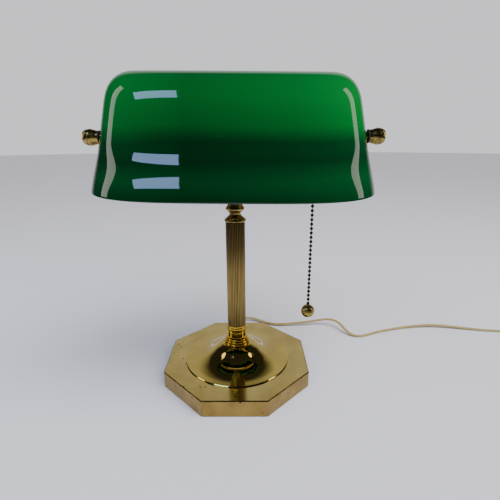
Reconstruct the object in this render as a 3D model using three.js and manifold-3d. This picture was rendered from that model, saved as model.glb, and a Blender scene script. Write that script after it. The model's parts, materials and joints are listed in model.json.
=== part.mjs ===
// Banker's desk lamp: octagonal brass base, reeded column, glass shade on a yoke,
// horizontal pull-chain socket with a tubular bulb, and a flat twin cord with its plug.
// Millimetres, +Z up. The origin is on the table under the column, and the pull chain is at +X.

import * as THREE from 'three';
import { mergeVertices } from 'three/addons/utils/BufferGeometryUtils.js';
import Module from 'manifold-3d';

const wasm = await Module();
wasm.setup();

// ---------------------------------------------------------------- driving dimensions

const GAP = 0.3; // between pieces that touch
const BASE_FLATS = 147; // base octagon, across its flats
const BASE_TOP = 17.1; // height of the base's top face
const SHEET = 1.2; // wall of the pressed base cover
const FELT = 2; // thickness of the felt pad
const COVER_BOTTOM = 0.6; // the cover's edge stands this far off the table
const BELL_RADIUS = 55.2; // foot of the spun bell on the base
const BELL_TOP = 34.6; // height of the bell's shoulder
const RINGS_TOP = 41.4; // top of the stepped rings on the bell
const SLEEVE_TOP = 55.6; // top of the polished sleeve under the column
const COLUMN_TOP = 165.9;
const COLUMN_RADIUS = 9.53; // 3/4 inch tube
const REEDS = 36; // reeds round the column
const NECK_TOP = 189.7; // top of the turned neck, which carries the yoke
const PIPE_RADIUS = 4.85; // 1/8 inch lamp pipe
const PIPE_BORE = 3.3;
const PIPE_CLEAR = 5.15; // holes that the lamp pipe passes through
const NUT_FLATS = 14.3; // nuts on the lamp pipe, across their flats

const PIVOT_Z = 244.3; // height of the knobs, about which the shade tilts
const SHADE_TILT = THREE.MathUtils.degToRad(5); // front edge down
const SHADE_LEAN = THREE.MathUtils.degToRad(0.6); // right end down, from the play in its holes
const SHADE = {
  halfLength: 129.8, // along X, at the rim
  halfDepth: 67, // along Y, at the rim
  height: 98.8,
  wall: 3.5,
  pivotHeight: 45, // of the knob holes above the rim
  waistHeight: 44, // the sides are upright here: a flare below it, a dome above it
  waistHalfDepth: 43,
  endSlope: 0.245, // how far each end leans in, per millimetre of height
  shoulderHeight: 74, // the ends round over into the dome from here
  shoulderInset: 24,
  domePower: 2.6, // 2 is an ellipse, more is squarer
  planPowerX: 3.8,
  planPowerY: 2.4,
  holeRadius: 5.5,
};

const YOKE_WIDTH = 16;
const YOKE_THICK = 2.5;
const ARM_OUTER_X = 110.6; // outer face of each yoke arm
const SHANK_RADIUS = 2.9; // screw that each knob carries
const KNOB_START_X = 122.2; // inner face of each knob
const KNOB_TIP_X = 136.2;

const SOCKET_Z = 224; // axis of the socket and the bulb
const SOCKET_RADIUS = 16.9;
const SHELL_START_X = 87.7; // where the socket's shell meets its cap
const SHELL_END_X = 47; // its open end
const BULB_RADIUS = 15.9; // T10 tube
const BULB_TIP_X = -64;

const CHAIN_X = 72.2;
const CHAIN_Y = -13; // it hangs clear of the yoke's bar
const BEAD_RADIUS = 1.6; // 3.2 mm bead chain
const BEAD_PITCH = 4.22;
const BEADS = 25;
const BALL_RADIUS = 6.7;
const BALL_Z = 76.5;

const CORD_WIDTH = 4; // flat twin cord, lying on its broad side
const CORD_THICK = 2;
const EXIT_Z = 6.5; // height at which the cord leaves the base
const RELIEF_LENGTH = 20;
const COIL_CENTRE = new THREE.Vector3(366, 50, 0);
const COIL_RADIUS = 23; // at the middle of its turns
const COIL_HALF_WIDTH = 4.1; // from the middle to the innermost and outermost turn
const COIL_LAYERS = 3;
const PLUG_REAR = new THREE.Vector3(378, 52, 12.8); // where the cord enters the plug
const PLUG_LENGTH = 28.5;
const BLADE_PITCH = 12.7; // between the plug's two blades

// ---------------------------------------------------------------- shaping helpers

const Z_AXIS = new THREE.Vector3(0, 0, 1);

// A three.js geometry as a solid that can be cut and joined.
function solid(geometry) {
  const bare = geometry.clone();
  bare.deleteAttribute('normal');
  bare.deleteAttribute('uv');
  const merged = mergeVertices(bare, 1e-5);
  return new wasm.Manifold(new wasm.Mesh({
    numProp: 3,
    vertProperties: new Float32Array(merged.attributes.position.array),
    triVerts: new Uint32Array(merged.index.array),
  }));
}

// A cut or joined solid as a three.js geometry.
function geometryOf(manifold) {
  const mesh = manifold.getMesh();
  const geometry = new THREE.BufferGeometry();
  geometry.setAttribute('position', new THREE.BufferAttribute(mesh.vertProperties, 3));
  geometry.setIndex(new THREE.BufferAttribute(mesh.triVerts, 1));
  geometry.computeVertexNormals();
  return geometry;
}

function cut(geometry, ...tools) {
  let result = solid(geometry);
  for (const tool of tools) result = result.subtract(solid(tool));
  return geometryOf(result);
}

function join(geometry, ...others) {
  let result = solid(geometry);
  for (const other of others) result = result.add(solid(other));
  return geometryOf(result);
}

// A turned piece about Z. The profile is a closed loop of [radius, height], outside first, upwards.
function turned(profile, segments = 20) {
  const loop = profile.map(([r, z]) => new THREE.Vector2(r, z));
  loop.push(loop[0].clone());
  return new THREE.LatheGeometry(loop, segments).rotateX(Math.PI / 2);
}

// Turns a piece made about Z so that its +Z points along +X.
function alongX(geometry) {
  return geometry.rotateY(Math.PI / 2);
}

function rod(radius, z0, z1, segments = 20) {
  const height = z1 - z0;
  return new THREE.CylinderGeometry(radius, radius, height, segments)
    .rotateX(Math.PI / 2)
    .translate(0, 0, (z0 + z1) / 2);
}

function ring(outer, inner, z0, z1, segments = 16) {
  return turned([[outer, z0], [outer, z1], [inner, z1], [inner, z0]], segments);
}

function box(x0, x1, y0, y1, z0, z1) {
  return new THREE.BoxGeometry(x1 - x0, y1 - y0, z1 - z0)
    .translate((x0 + x1) / 2, (y0 + y1) / 2, (z0 + z1) / 2);
}

// An octagonal prism with flats on X and Y.
function octagon(flats, z0, z1) {
  const prism = rod(flats / 2 / Math.cos(Math.PI / 8), z0, z1, 8);
  return prism.rotateZ(Math.PI / 8);
}

function hexNut(flats, hole, z0, z1) {
  return cut(rod(flats / 2 / Math.cos(Math.PI / 6), z0, z1, 6), rod(hole, z0 - 1, z1 + 1));
}

// Points on a half round from one height to another, for beads on turned pieces.
function bead(radius, bulge, z0, z1, steps = 4) {
  return Array.from({ length: steps + 1 }, (_, i) => {
    const angle = Math.PI * i / steps;
    return [radius + bulge * Math.sin(angle), (z0 + z1) / 2 - (z1 - z0) / 2 * Math.cos(angle)];
  });
}

// Skins a stack of closed outlines, each a list of Vector3 anticlockwise about the way they stack.
function loft(outlines) {
  const count = outlines[0].length;
  const points = outlines.flat();
  const index = [];
  for (let k = 0; k + 1 < outlines.length; k++) {
    for (let i = 0; i < count; i++) {
      const a = k * count + i;
      const b = k * count + (i + 1) % count;
      index.push(a, b, b + count, a, b + count, a + count);
    }
  }
  const last = (outlines.length - 1) * count;
  for (let i = 1; i + 1 < count; i++) {
    index.push(0, i + 1, i, last, last + i, last + i + 1);
  }
  const geometry = new THREE.BufferGeometry().setFromPoints(points);
  geometry.setIndex(index);
  geometry.computeVertexNormals();
  return geometry;
}

// A curve whose sections stay level, so that a flat cord lies on its broad side.
class LevelCurve extends THREE.CatmullRomCurve3 {
  computeFrenetFrames(segments) {
    const tangents = [];
    const normals = [];
    const binormals = [];
    for (let i = 0; i <= segments; i++) {
      const tangent = this.getTangentAt(i / segments);
      const side = new THREE.Vector3().crossVectors(tangent, Z_AXIS).normalize();
      tangents.push(tangent);
      normals.push(side);
      binormals.push(new THREE.Vector3().crossVectors(tangent, side));
    }
    return { tangents, normals, binormals };
  }
}

function roundSection(width, thick, sides) {
  const points = Array.from({ length: sides }, (_, i) => {
    const angle = 2 * Math.PI * (i + 0.5) / sides;
    return new THREE.Vector2(width / 2 * Math.cos(angle), thick / 2 * Math.sin(angle));
  });
  return new THREE.Shape(points);
}

function swept(curve, section, steps) {
  return new THREE.ExtrudeGeometry(section, { steps, extrudePath: curve });
}

// ---------------------------------------------------------------- materials

const finish = (color, roughness, metalness) =>
  new THREE.MeshStandardMaterial({ color, roughness, metalness });

const materials = {
  polishedBrass: () => finish('#b8923f', 0.22, 1),
  agedBrass: () => finish('#8d7440', 0.38, 1),
  antiqueBrass: () => finish('#5a4a2c', 0.45, 1),
  steel: () => finish('#8c8c88', 0.4, 1),
  castIron: () => finish('#3a3a3c', 0.8, 0.4),
  felt: () => finish('#1f3a2a', 1, 0),
  fibre: () => finish('#2a2622', 0.9, 0),
  paper: () => finish('#c9b48a', 0.9, 0),
  phenolic: () => finish('#2b1f18', 0.5, 0),
  greenGlass: () => finish('#0b5a2c', 0.1, 0),
  opalGlass: () => finish('#f2efe6', 0.3, 0),
  cordPlastic: () => finish('#8b7a45', 0.35, 0),
  plugPlastic: () => finish('#4a3a22', 0.5, 0),
};

const lamp = new THREE.Group();

function add(name, geometry, material) {
  const mesh = new THREE.Mesh(geometry, material());
  mesh.name = name;
  lamp.add(mesh);
  return mesh;
}

// ---------------------------------------------------------------- base

const coverInside = BASE_FLATS - 2 * SHEET;
const fillFlats = coverInside - 2 * GAP;

function baseCover() {
  const bevel = 0.9;
  const body = octagon(BASE_FLATS, COVER_BOTTOM, BASE_TOP - bevel);
  const cap = new THREE.CylinderGeometry(
    (BASE_FLATS - 2 * bevel) / 2 / Math.cos(Math.PI / 8),
    BASE_FLATS / 2 / Math.cos(Math.PI / 8),
    bevel,
    8,
  ).rotateX(Math.PI / 2).rotateZ(Math.PI / 8).translate(0, 0, BASE_TOP - bevel / 2);
  return cut(
    join(body, cap),
    octagon(coverInside, -1, BASE_TOP - SHEET),
    rod(PIPE_CLEAR, 0, BASE_TOP + 1),
    rod(4.2, 0, 10, 16).rotateX(-Math.PI / 2).translate(0, BASE_FLATS / 2 - 5, EXIT_Z),
  );
}

function baseWeight() {
  const webBottom = 12;
  return cut(
    octagon(fillFlats, FELT + GAP, BASE_TOP - SHEET - GAP),
    rod(15, 0, webBottom, 32),
    rod(PIPE_CLEAR, 0, BASE_TOP),
    box(-2.6, 2.6, 0, BASE_FLATS / 2, 0, EXIT_Z + 2),
    rod(6, 0, 12, 16).rotateX(-Math.PI / 2).translate(0, BASE_FLATS / 2 - 8, EXIT_Z),
  );
}

function bell() {
  const foot = BASE_TOP + GAP;
  const outside = new THREE.CatmullRomCurve3([
    [BELL_RADIUS - 0.6, foot + 0.9], [47, 18.9], [39, 20.4], [31.5, 23.2],
    [25.5, 27.2], [20.5, 31.4], [15.2, BELL_TOP],
  ].map(([r, z]) => new THREE.Vector3(r, 0, z)), false, 'centripetal').getPoints(8);
  const skin = 1;
  const outer = outside.map((p) => [p.x, p.z]);
  const inner = outer.slice(0, -1).reverse().map(([r, z]) => [r - skin, Math.max(z - skin, foot)]);
  return turned([
    [BELL_RADIUS, foot], ...outer, [PIPE_CLEAR, BELL_TOP], [PIPE_CLEAR, BELL_TOP - skin], ...inner,
  ], 28);
}

function steppedRings() {
  const bottom = BELL_TOP + GAP;
  const step = (RINGS_TOP - bottom) / 3;
  return turned([
    [12.6, bottom],
    ...bead(12.9, 0.9, bottom + 0.1, bottom + step),
    ...bead(11.7, 0.9, bottom + step + 0.1, bottom + 2 * step),
    ...bead(10.4, 0.9, bottom + 2 * step + 0.1, RINGS_TOP),
    [PIPE_CLEAR, RINGS_TOP], [PIPE_CLEAR, bottom],
  ]);
}

function sleeve() {
  const bottom = RINGS_TOP + GAP;
  return turned([
    [9.5, bottom], [9.2, bottom + 0.8], [9.2, 48.2], [8.9, 48.8], [9.5, 49.6],
    ...bead(9.6, 0.85, 50.6, 54.6),
    [9.5, SLEEVE_TOP], [PIPE_CLEAR, SLEEVE_TOP], [PIPE_CLEAR, bottom],
  ]);
}

add('base_cover', baseCover(), materials.polishedBrass);
add('base_weight', baseWeight(), materials.castIron);
add('felt_pad', octagon(fillFlats, 0, FELT), materials.felt);
add('bell_dome', bell(), materials.polishedBrass);
add('stepped_rings', steppedRings(), materials.polishedBrass);
add('lower_sleeve', sleeve(), materials.polishedBrass);
add('base_washer', ring(11, PIPE_CLEAR, 10.4, 11.7), materials.steel);
add('base_nut', hexNut(NUT_FLATS, PIPE_CLEAR, 6.9, 10.1), materials.steel);

// ---------------------------------------------------------------- column and neck

function column() {
  const points = Array.from({ length: 2 * REEDS }, (_, i) => {
    const radius = i % 2 ? COLUMN_RADIUS - 0.4 : COLUMN_RADIUS;
    const angle = Math.PI * i / REEDS;
    return new THREE.Vector2(radius * Math.cos(angle), radius * Math.sin(angle));
  });
  const section = new THREE.Shape(points);
  section.holes.push(new THREE.Path().absarc(0, 0, COLUMN_RADIUS - SHEET, 0, 2 * Math.PI, true));
  const depth = COLUMN_TOP - SLEEVE_TOP - GAP;
  return new THREE.ExtrudeGeometry(section, { depth, bevelEnabled: false, curveSegments: 12 })
    .translate(0, 0, SLEEVE_TOP + GAP);
}

function turnedNeck() {
  const bottom = COLUMN_TOP + GAP;
  return turned([
    [10, bottom], [10.75, 167.2], [10.5, 168.3], [9.3, 169.5], [6.3, 171.8], [5.5, 173.4],
    [5.5, 174.4], [8.2, 176.9], [9.2, 178.3], [9.2, 179.3], [7.4, 181.8], [7.1, 183.2],
    [7.1, NECK_TOP],
    [PIPE_CLEAR, NECK_TOP], [PIPE_CLEAR, 179], [2.6, 178], [2.6, 172],
    [PIPE_CLEAR, 171.3], [PIPE_CLEAR, bottom],
  ]);
}

add('column_tube', column(), materials.agedBrass);
add('turned_neck', turnedNeck(), materials.agedBrass);
add('lamp_pipe', ring(PIPE_RADIUS, PIPE_BORE, 6.4, 171), materials.steel);

// ---------------------------------------------------------------- yoke

const YOKE_BOTTOM = NECK_TOP + GAP;
const yokeTop = YOKE_BOTTOM + YOKE_THICK;

function yoke() {
  const bend = 7;
  const inner = ARM_OUTER_X - YOKE_THICK;
  const top = PIVOT_Z + YOKE_WIDTH / 2;
  const bendX = ARM_OUTER_X - bend;
  const bendZ = YOKE_BOTTOM + bend;
  const left = Math.PI;
  const down = 1.5 * Math.PI;
  const right = 2 * Math.PI;
  const strip = new THREE.Shape();
  strip.moveTo(-ARM_OUTER_X, top);
  strip.absarc(-bendX, bendZ, bend, left, down);
  strip.absarc(bendX, bendZ, bend, down, right);
  strip.lineTo(ARM_OUTER_X, top);
  strip.lineTo(inner, top);
  strip.absarc(bendX, bendZ, bend - YOKE_THICK, right, down, true);
  strip.absarc(-bendX, bendZ, bend - YOKE_THICK, down, left, true);
  strip.lineTo(-inner, top);
  const pressing = { depth: YOKE_WIDTH, bevelEnabled: false, curveSegments: 5 };
  const bar = new THREE.ExtrudeGeometry(strip, pressing)
    .rotateX(Math.PI / 2)
    .translate(0, YOKE_WIDTH / 2, 0);
  const reach = ARM_OUTER_X + 5;
  const ends = solid(box(-reach, reach, -YOKE_WIDTH / 2, YOKE_WIDTH / 2, 0, PIVOT_Z))
    .add(solid(alongX(rod(YOKE_WIDTH / 2, -reach, reach)).translate(0, 0, PIVOT_Z)));
  const holes = [
    rod(PIPE_CLEAR, YOKE_BOTTOM - 5, yokeTop + 5),
    alongX(rod(SHANK_RADIUS + GAP, -reach, reach, 16)).translate(0, 0, PIVOT_Z),
    alongX(rod(PIPE_CLEAR, 90, reach)).translate(0, 0, SOCKET_Z),
  ];
  return holes.reduce((body, hole) => cut(body, hole), geometryOf(solid(bar).intersect(ends)));
}

add('yoke', yoke(), materials.agedBrass);
add('yoke_nipple', ring(PIPE_RADIUS, PIPE_BORE, 179.8, 199.5), materials.steel);
const washerTop = yokeTop + GAP + 1.2;
add('yoke_washer', ring(8.4, PIPE_CLEAR, yokeTop + GAP, washerTop), materials.steel);
add('yoke_nut', hexNut(NUT_FLATS, PIPE_CLEAR, washerTop + GAP, washerTop + GAP + 3.4), materials.steel);

// ---------------------------------------------------------------- shade

// Half depth of the shade's outside at a height above its rim, thinner all over by inset.
function shadeHalfDepth(height, inset) {
  const { waistHeight, waistHalfDepth, halfDepth, domePower, height: crown } = SHADE;
  if (height < waistHeight) {
    const t = THREE.MathUtils.clamp((waistHeight - height) / waistHeight, 0, 1);
    return waistHalfDepth + (halfDepth - waistHalfDepth) * t * t * (3 - 2 * t) - inset;
  }
  const t = (height - waistHeight) / (crown - inset - waistHeight);
  return (waistHalfDepth - inset) * (1 - t ** domePower) ** (1 / domePower);
}

function shadeHalfLength(height, inset) {
  const { halfLength, endSlope, shoulderHeight, shoulderInset, domePower, height: crown } = SHADE;
  const leaning = halfLength - endSlope * height - inset;
  const t = Math.max(0, (height - shoulderHeight) / (crown - inset - shoulderHeight));
  return leaning - shoulderInset * (1 - (1 - t ** domePower) ** (1 / domePower));
}

// Heights of the outlines, closer together where the dome closes.
function shadeHeights(bottom, inset) {
  const flare = 5;
  const dome = 7;
  const { waistHeight, height: crown } = SHADE;
  const heights = [];
  for (let i = 0; i < flare; i++) heights.push(bottom + (waistHeight - bottom) * i / flare);
  for (let i = 0; i <= dome; i++) {
    const t = Math.sin(0.985 * Math.PI / 2 * i / dome) ** 0.85;
    heights.push(waistHeight + (crown - inset - waistHeight) * t);
  }
  return heights;
}

function shadeForm(bottom, inset) {
  const sides = 32;
  const { planPowerX, planPowerY, pivotHeight } = SHADE;
  const power = (value, exponent) => Math.sign(value) * Math.abs(value) ** exponent;
  return loft(shadeHeights(bottom, inset).map((height) => {
    const a = shadeHalfLength(Math.max(height, 0), inset);
    const b = shadeHalfDepth(Math.max(height, 0), inset);
    return Array.from({ length: sides }, (_, i) => {
      const angle = 2 * Math.PI * i / sides;
      return new THREE.Vector3(
        a * power(Math.cos(angle), 2 / planPowerX),
        b * power(Math.sin(angle), 2 / planPowerY),
        height - pivotHeight,
      );
    });
  }));
}

const shadeGlass = cut(
  shadeForm(0, 0),
  shadeForm(-2, SHADE.wall),
  alongX(rod(SHADE.holeRadius, -SHADE.halfLength, SHADE.halfLength, 16)),
);
const shade = add('glass_shade', shadeGlass, materials.greenGlass);
shade.position.z = PIVOT_Z;
shade.rotation.set(SHADE_TILT, SHADE_LEAN, 0);

// ---------------------------------------------------------------- knobs and washers

function knob() {
  const start = KNOB_START_X;
  return alongX(turned([
    [0, 104], [SHANK_RADIUS, 104], [SHANK_RADIUS, start], [5.8, start], [5.9, start + 1.4],
    [7.5, start + 7.4], [7.6, start + 8.4], [7, start + 8.9], [7.3, start + 9.6],
    [6.9, start + 11.6], [5.8, start + 13.6], [4.8, KNOB_TIP_X], [0, KNOB_TIP_X],
  ]));
}

// A fibre washer on the knob's shank, either side of the glass.
function washer(start, thick) {
  return alongX(ring(6.2, SHANK_RADIUS + GAP, start, start + thick));
}

for (const [side, turn] of [['right', 0], ['left', Math.PI]]) {
  for (const [name, geometry, material] of [
    ['knob', knob(), materials.antiqueBrass],
    ['inner_washer', washer(ARM_OUTER_X + GAP, 1.4), materials.fibre],
    ['outer_washer', washer(KNOB_START_X - GAP - 0.9, 0.9), materials.fibre],
  ]) {
    const piece = add(`${side}_${name}`, geometry, material);
    piece.rotation.z = turn;
    piece.position.z = PIVOT_Z;
  }
}

// ---------------------------------------------------------------- socket and bulb

// Places a piece made about X on the socket's axis.
function onSocket(geometry) {
  return geometry.translate(0, 0, SOCKET_Z);
}

const leadEntry = rod(2.3, -9, 5, 12)
  .rotateY(0.22).rotateX(0.42).translate(92.6, 8, 212);

function socketCap() {
  const hub = ARM_OUTER_X - YOKE_THICK - GAP;
  const rim = SHELL_START_X + GAP;
  const cap = turned([
    [SOCKET_RADIUS, rim], [SOCKET_RADIUS, rim + 3], [16.2, rim + 5.5], [14.4, rim + 8.2],
    [11.6, rim + 10.4], [8.4, rim + 11.8], [7.8, hub], [PIPE_CLEAR, hub], [PIPE_CLEAR, rim + 11],
    [8.2, rim + 10.6], [11, rim + 9.4], [13.6, rim + 7.6], [15.3, rim + 5.2], [16.1, rim + 2.8],
    [16.1, rim],
  ]);
  return cut(onSocket(alongX(cap)), leadEntry);
}

// The hole for the bell mouth, in the underside of the shell and its liner.
function chainHole() {
  return rod(4.7, SOCKET_Z - 22, SOCKET_Z - 8, 16).translate(CHAIN_X, CHAIN_Y, 0);
}

function socketShell() {
  const shell = turned([
    [17.5, SHELL_END_X], [17.7, SHELL_END_X + 0.8], [SOCKET_RADIUS, SHELL_END_X + 1.8],
    [SOCKET_RADIUS, SHELL_START_X], [16.2, SHELL_START_X], [16.2, SHELL_END_X],
  ]);
  return cut(onSocket(alongX(shell)), chainHole());
}

function socketLiner() {
  return cut(onSocket(alongX(ring(15.9, 15.3, 46.4, 84))), chainHole());
}

function socketBody() {
  const body = onSocket(alongX(rod(14.9, 70, 86)));
  return cut(body, box(CHAIN_X - 5, 90, CHAIN_Y - 6, CHAIN_Y + 5, SOCKET_Z - 18, SOCKET_Z - 6));
}

function bellMouth() {
  return turned([
    [4.1, 200], [4.2, 200.5], [3.5, 201.8], [3.1, 203.8], [3.1, 207.6], [4.2, 208.8],
    [4.2, 212.4], [2.3, 212.4], [2.3, 201.6], [3.3, 200],
  ], 16).translate(CHAIN_X, CHAIN_Y, 0);
}

function bulbGlass() {
  const wall = 1;
  const outer = [
    [11.9, 47.5], [11.9, 42.5], [14.6, 35.5], [BULB_RADIUS, 30], [BULB_RADIUS, -50],
    [14.6, -57], [10, -61.8], [0, BULB_TIP_X],
  ];
  const inner = outer.map(([r, x]) => [Math.max(r - wall, 0), x < 0 ? x + wall : x]).reverse();
  return onSocket(alongX(turned([...outer, ...inner].reverse())));
}

function bulbCap() {
  const thread = [];
  for (let i = 0; i < 5; i++) {
    const x = 47 + 3.6 * i;
    thread.push([12.4, x], [12.9, x + 1.8]);
  }
  return onSocket(alongX(turned([
    [12.7, 43], [12.9, 44.5], ...thread, [12, 65.2], [7, 66.8], [4.8, 67.4], [4.2, 68.4], [0, 68.6],
    [0, 66.2], [11.4, 64.4], [12.1, 62], [12.2, 43],
  ])));
}

const socketNipple = alongX(ring(PIPE_RADIUS, PIPE_BORE, 100.6, ARM_OUTER_X + 3.6));
const socketLocknut = alongX(hexNut(NUT_FLATS, PIPE_CLEAR, ARM_OUTER_X + GAP, ARM_OUTER_X + GAP + 2.4));
add('socket_nipple', onSocket(socketNipple), materials.steel);
add('socket_locknut', onSocket(socketLocknut), materials.steel);
add('socket_cap', socketCap(), materials.agedBrass);
add('socket_shell', socketShell(), materials.agedBrass);
add('socket_liner', socketLiner(), materials.paper);
add('socket_body', socketBody(), materials.phenolic);
add('screw_shell', onSocket(alongX(ring(14, 13.4, 49, 69.7))), materials.polishedBrass);
add('centre_contact', onSocket(alongX(rod(3.5, 68.9, 69.7, 16))), materials.polishedBrass);
add('chain_bell_mouth', bellMouth(), materials.agedBrass);
add('bulb_glass', bulbGlass(), materials.opalGlass);
add('bulb_cap', bulbCap(), materials.polishedBrass);

// ---------------------------------------------------------------- pull chain

// A string of beads on a thin link wire, from the lowest bead's centre upwards.
function beadString(first, count, sides) {
  const link = 0.45;
  const profile = [[0, first - BEAD_RADIUS]];
  for (let i = 0; i < count; i++) {
    const z = first + i * BEAD_PITCH;
    if (i > 0) profile.push([link, z - BEAD_RADIUS + 0.1]);
    profile.push([BEAD_RADIUS, z - 0.6], [BEAD_RADIUS, z + 0.6]);
    if (i + 1 < count) profile.push([link, z + BEAD_RADIUS - 0.1]);
  }
  profile.push([0, first + (count - 1) * BEAD_PITCH + BEAD_RADIUS]);
  return turned(profile, sides).translate(CHAIN_X, CHAIN_Y, 0);
}

const lowestBead = BALL_Z + BALL_RADIUS + 1 + BEAD_RADIUS;
const chainTop = lowestBead + (BEADS - 1) * BEAD_PITCH + BEAD_RADIUS;
const PULL_PIVOT_Z = chainTop + 8; // the connector hangs from here

function pullBall() {
  const steps = 8;
  const profile = [[0, BALL_Z - BALL_RADIUS]];
  for (let i = 1; i < steps; i++) {
    const angle = -Math.PI / 2 + (Math.PI - 0.3) * i / (steps - 1);
    profile.push([BALL_RADIUS * Math.cos(angle), BALL_Z + BALL_RADIUS * Math.sin(angle)]);
  }
  profile.push([1.9, BALL_Z + BALL_RADIUS + 0.7], [0, BALL_Z + BALL_RADIUS + 0.7]);
  return turned(profile, 16).translate(CHAIN_X, CHAIN_Y, 0);
}

function chainConnector() {
  const z0 = chainTop + GAP;
  const z1 = PULL_PIVOT_Z - GAP;
  return turned([
    [0, z0], [1.3, z0], [1.9, z0 + 0.9], [1.9, z1 - 0.9], [1.3, z1], [0, z1],
  ], 12).translate(CHAIN_X, CHAIN_Y, 0);
}

add('pull_ball', pullBall(), materials.polishedBrass);
add('pull_chain', beadString(lowestBead, BEADS, 6), materials.antiqueBrass);
add('chain_connector', chainConnector(), materials.antiqueBrass);
add('inner_beads', beadString(PULL_PIVOT_Z + GAP + BEAD_RADIUS, 2, 6), materials.antiqueBrass);

// ---------------------------------------------------------------- cord inside the lamp

const innerRoute = [
  [0, 66, EXIT_Z], [0, 60, 5.6], [0, 50, 4.4], [0, 30, 4.3], [0, 12, 4.3], [0, 5, 4.3],
  [0, 1.2, 5.4], [0, 0, 8.6], [0, 0, 20], [0, 0, 60], [0, 0, 110], [0, 0, 160], [0, 0, 190],
  [0.2, 0.1, 198.5], [2.4, 1.3, 202.8], [9, 4, 204.8], [24, 8, 204.2], [42, 11, 202.6],
  [60, 12.4, 202], [76, 12.4, 202.4], [86, 11.6, 204.2], [90.4, 10.2, 207], [92.4, 8.2, 212],
  [93.4, 6.8, 215.4],
].map((p) => new THREE.Vector3(...p));

add('inner_cord',
  swept(new THREE.CatmullRomCurve3(innerRoute, false, 'centripetal'), roundSection(2.8, 2.8, 6), 52),
  materials.cordPlastic);

// ---------------------------------------------------------------- cord outside the lamp

const reliefFace = BASE_FLATS / 2 + GAP;
const reliefNeck = reliefFace + 1.5;
const reliefEnd = reliefNeck + RELIEF_LENGTH;

function strainRelief() {
  return turned([
    [0, reliefFace - 7], [3.9, reliefFace - 7], [3.9, reliefFace], [5.6, reliefFace],
    [5.6, reliefFace + 1.2], [4.4, reliefNeck], [3.6, reliefFace + 8], [2.9, reliefEnd], [0, reliefEnd],
  ]).rotateX(-Math.PI / 2).translate(0, 0, EXIT_Z);
}

const runRoute = [
  [0, reliefEnd + GAP, EXIT_Z], [0.6, 100.6, 6.2], [3.6, 106.2, 5.4], [8.8, 110, 4.5],
  [15.2, 110.9, 3.6], [23.5, 108.2, 2.8], [33, 102.4, 2.4], [44, 97, 2.4], [55, 95.2, 2.7],
  [68, 95.6, 3.3], [82, 96.4, 4.2], [96, 97.6, 5.4], [108.5, 98.7, 7], [118.5, 98, 8.3],
  [127.2, 93.6, 8.8], [133.2, 85.4, 7.4],
  [137.6, 76.4, 4.6], [143.4, 69, 2.2], [152.4, 66.2, 1.2], [163.6, 69.2, 1.1], [175, 74.4, 1.1],
  [188, 79.4, 1.1], [204, 84.2, 1.3], [222, 88.2, 1.8], [240, 90.4, 2.6], [256, 90.6, 3.2],
  [274, 88.6, 3], [294, 85, 2.2], [314, 81.4, 1.4], [334, 78.8, 1.1], [352, 77.4, 1.1],
].map((p) => new THREE.Vector3(...p));

function cordRun() {
  const section = roundSection(CORD_WIDTH, CORD_THICK, 8);
  return swept(new LevelCurve(runRoute, false, 'centripetal'), section, 50);
}

// The outer shape of the whole coil, which lies flat on the table.
function cordCoil() {
  const reach = COIL_HALF_WIDTH + CORD_WIDTH / 2;
  const top = COIL_LAYERS * (CORD_THICK + 0.1);
  return ring(COIL_RADIUS + reach, COIL_RADIUS - reach, 0, top, 32)
    .translate(COIL_CENTRE.x, COIL_CENTRE.y, 0);
}

// The last of the cord, from the top of the coil up into the plug.
const tailRoute = [
  [-9.6, 15.6, 8.2], [-4.5, 17, 9.2], [2, 16.1, 10.4], [7.5, 12.6, 11.6], [11.1, 7.1, 12.5],
].map(([x, y, z]) => new THREE.Vector3(COIL_CENTRE.x + x, COIL_CENTRE.y + y, z));

function cordTail() {
  const end = PLUG_REAR.clone().add(new THREE.Vector3(0, GAP, 0));
  const curve = new LevelCurve([...tailRoute, end], false, 'centripetal');
  return swept(curve, roundSection(CORD_WIDTH, CORD_THICK, 8), 14);
}

function plugBody() {
  const stations = [
    [0, 2.9, 2.2], [6, 3.4, 2.6], [9, 6.6, 4.4], [13, 9.6, 5.4], [20, 11.4, 5.8], [27, 12, 5.9],
    [PLUG_LENGTH, 11.4, 5.3],
  ];
  const sides = 20;
  return loft(stations.map(([along, halfWidth, halfThick]) =>
    Array.from({ length: sides }, (_, i) => {
      const angle = 2 * Math.PI * i / sides;
      const squared = (value) => Math.sign(value) * Math.abs(value) ** 0.6;
      return new THREE.Vector3(
        PLUG_REAR.x + halfWidth * squared(Math.cos(angle)),
        PLUG_REAR.y - along,
        PLUG_REAR.z + halfThick * squared(Math.sin(angle)),
      );
    })));
}

function plugBlade(side) {
  const x = PLUG_REAR.x + side * BLADE_PITCH / 2;
  const front = PLUG_REAR.y - PLUG_LENGTH - GAP;
  return cut(
    box(x - 0.75, x + 0.75, front - 17, front, PLUG_REAR.z - 3.2, PLUG_REAR.z + 3.2),
    alongX(rod(1.6, -1, 1, 12)).translate(x, front - 13, PLUG_REAR.z),
  );
}

add('cord_strain_relief', strainRelief(), materials.plugPlastic);
add('cord_run', cordRun(), materials.cordPlastic);
add('cord_coil', cordCoil(), materials.cordPlastic);
add('cord_tail', cordTail(), materials.cordPlastic);
add('plug_body', plugBody(), materials.plugPlastic);
add('left_plug_blade', plugBlade(-1), materials.polishedBrass);
add('right_plug_blade', plugBlade(1), materials.polishedBrass);

export default lamp;
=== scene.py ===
"""Banker's desk lamp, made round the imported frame: brass base and column, green glass shade, pull-chain
socket with a tubular bulb, bead chain, and a flat twin cord with its plug.
Sizes are written in millimetres and turned to metres by MM."""
import json
from math import cos, pi, radians, sin

import bmesh
import bpy
from mathutils import Matrix, Vector


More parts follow.
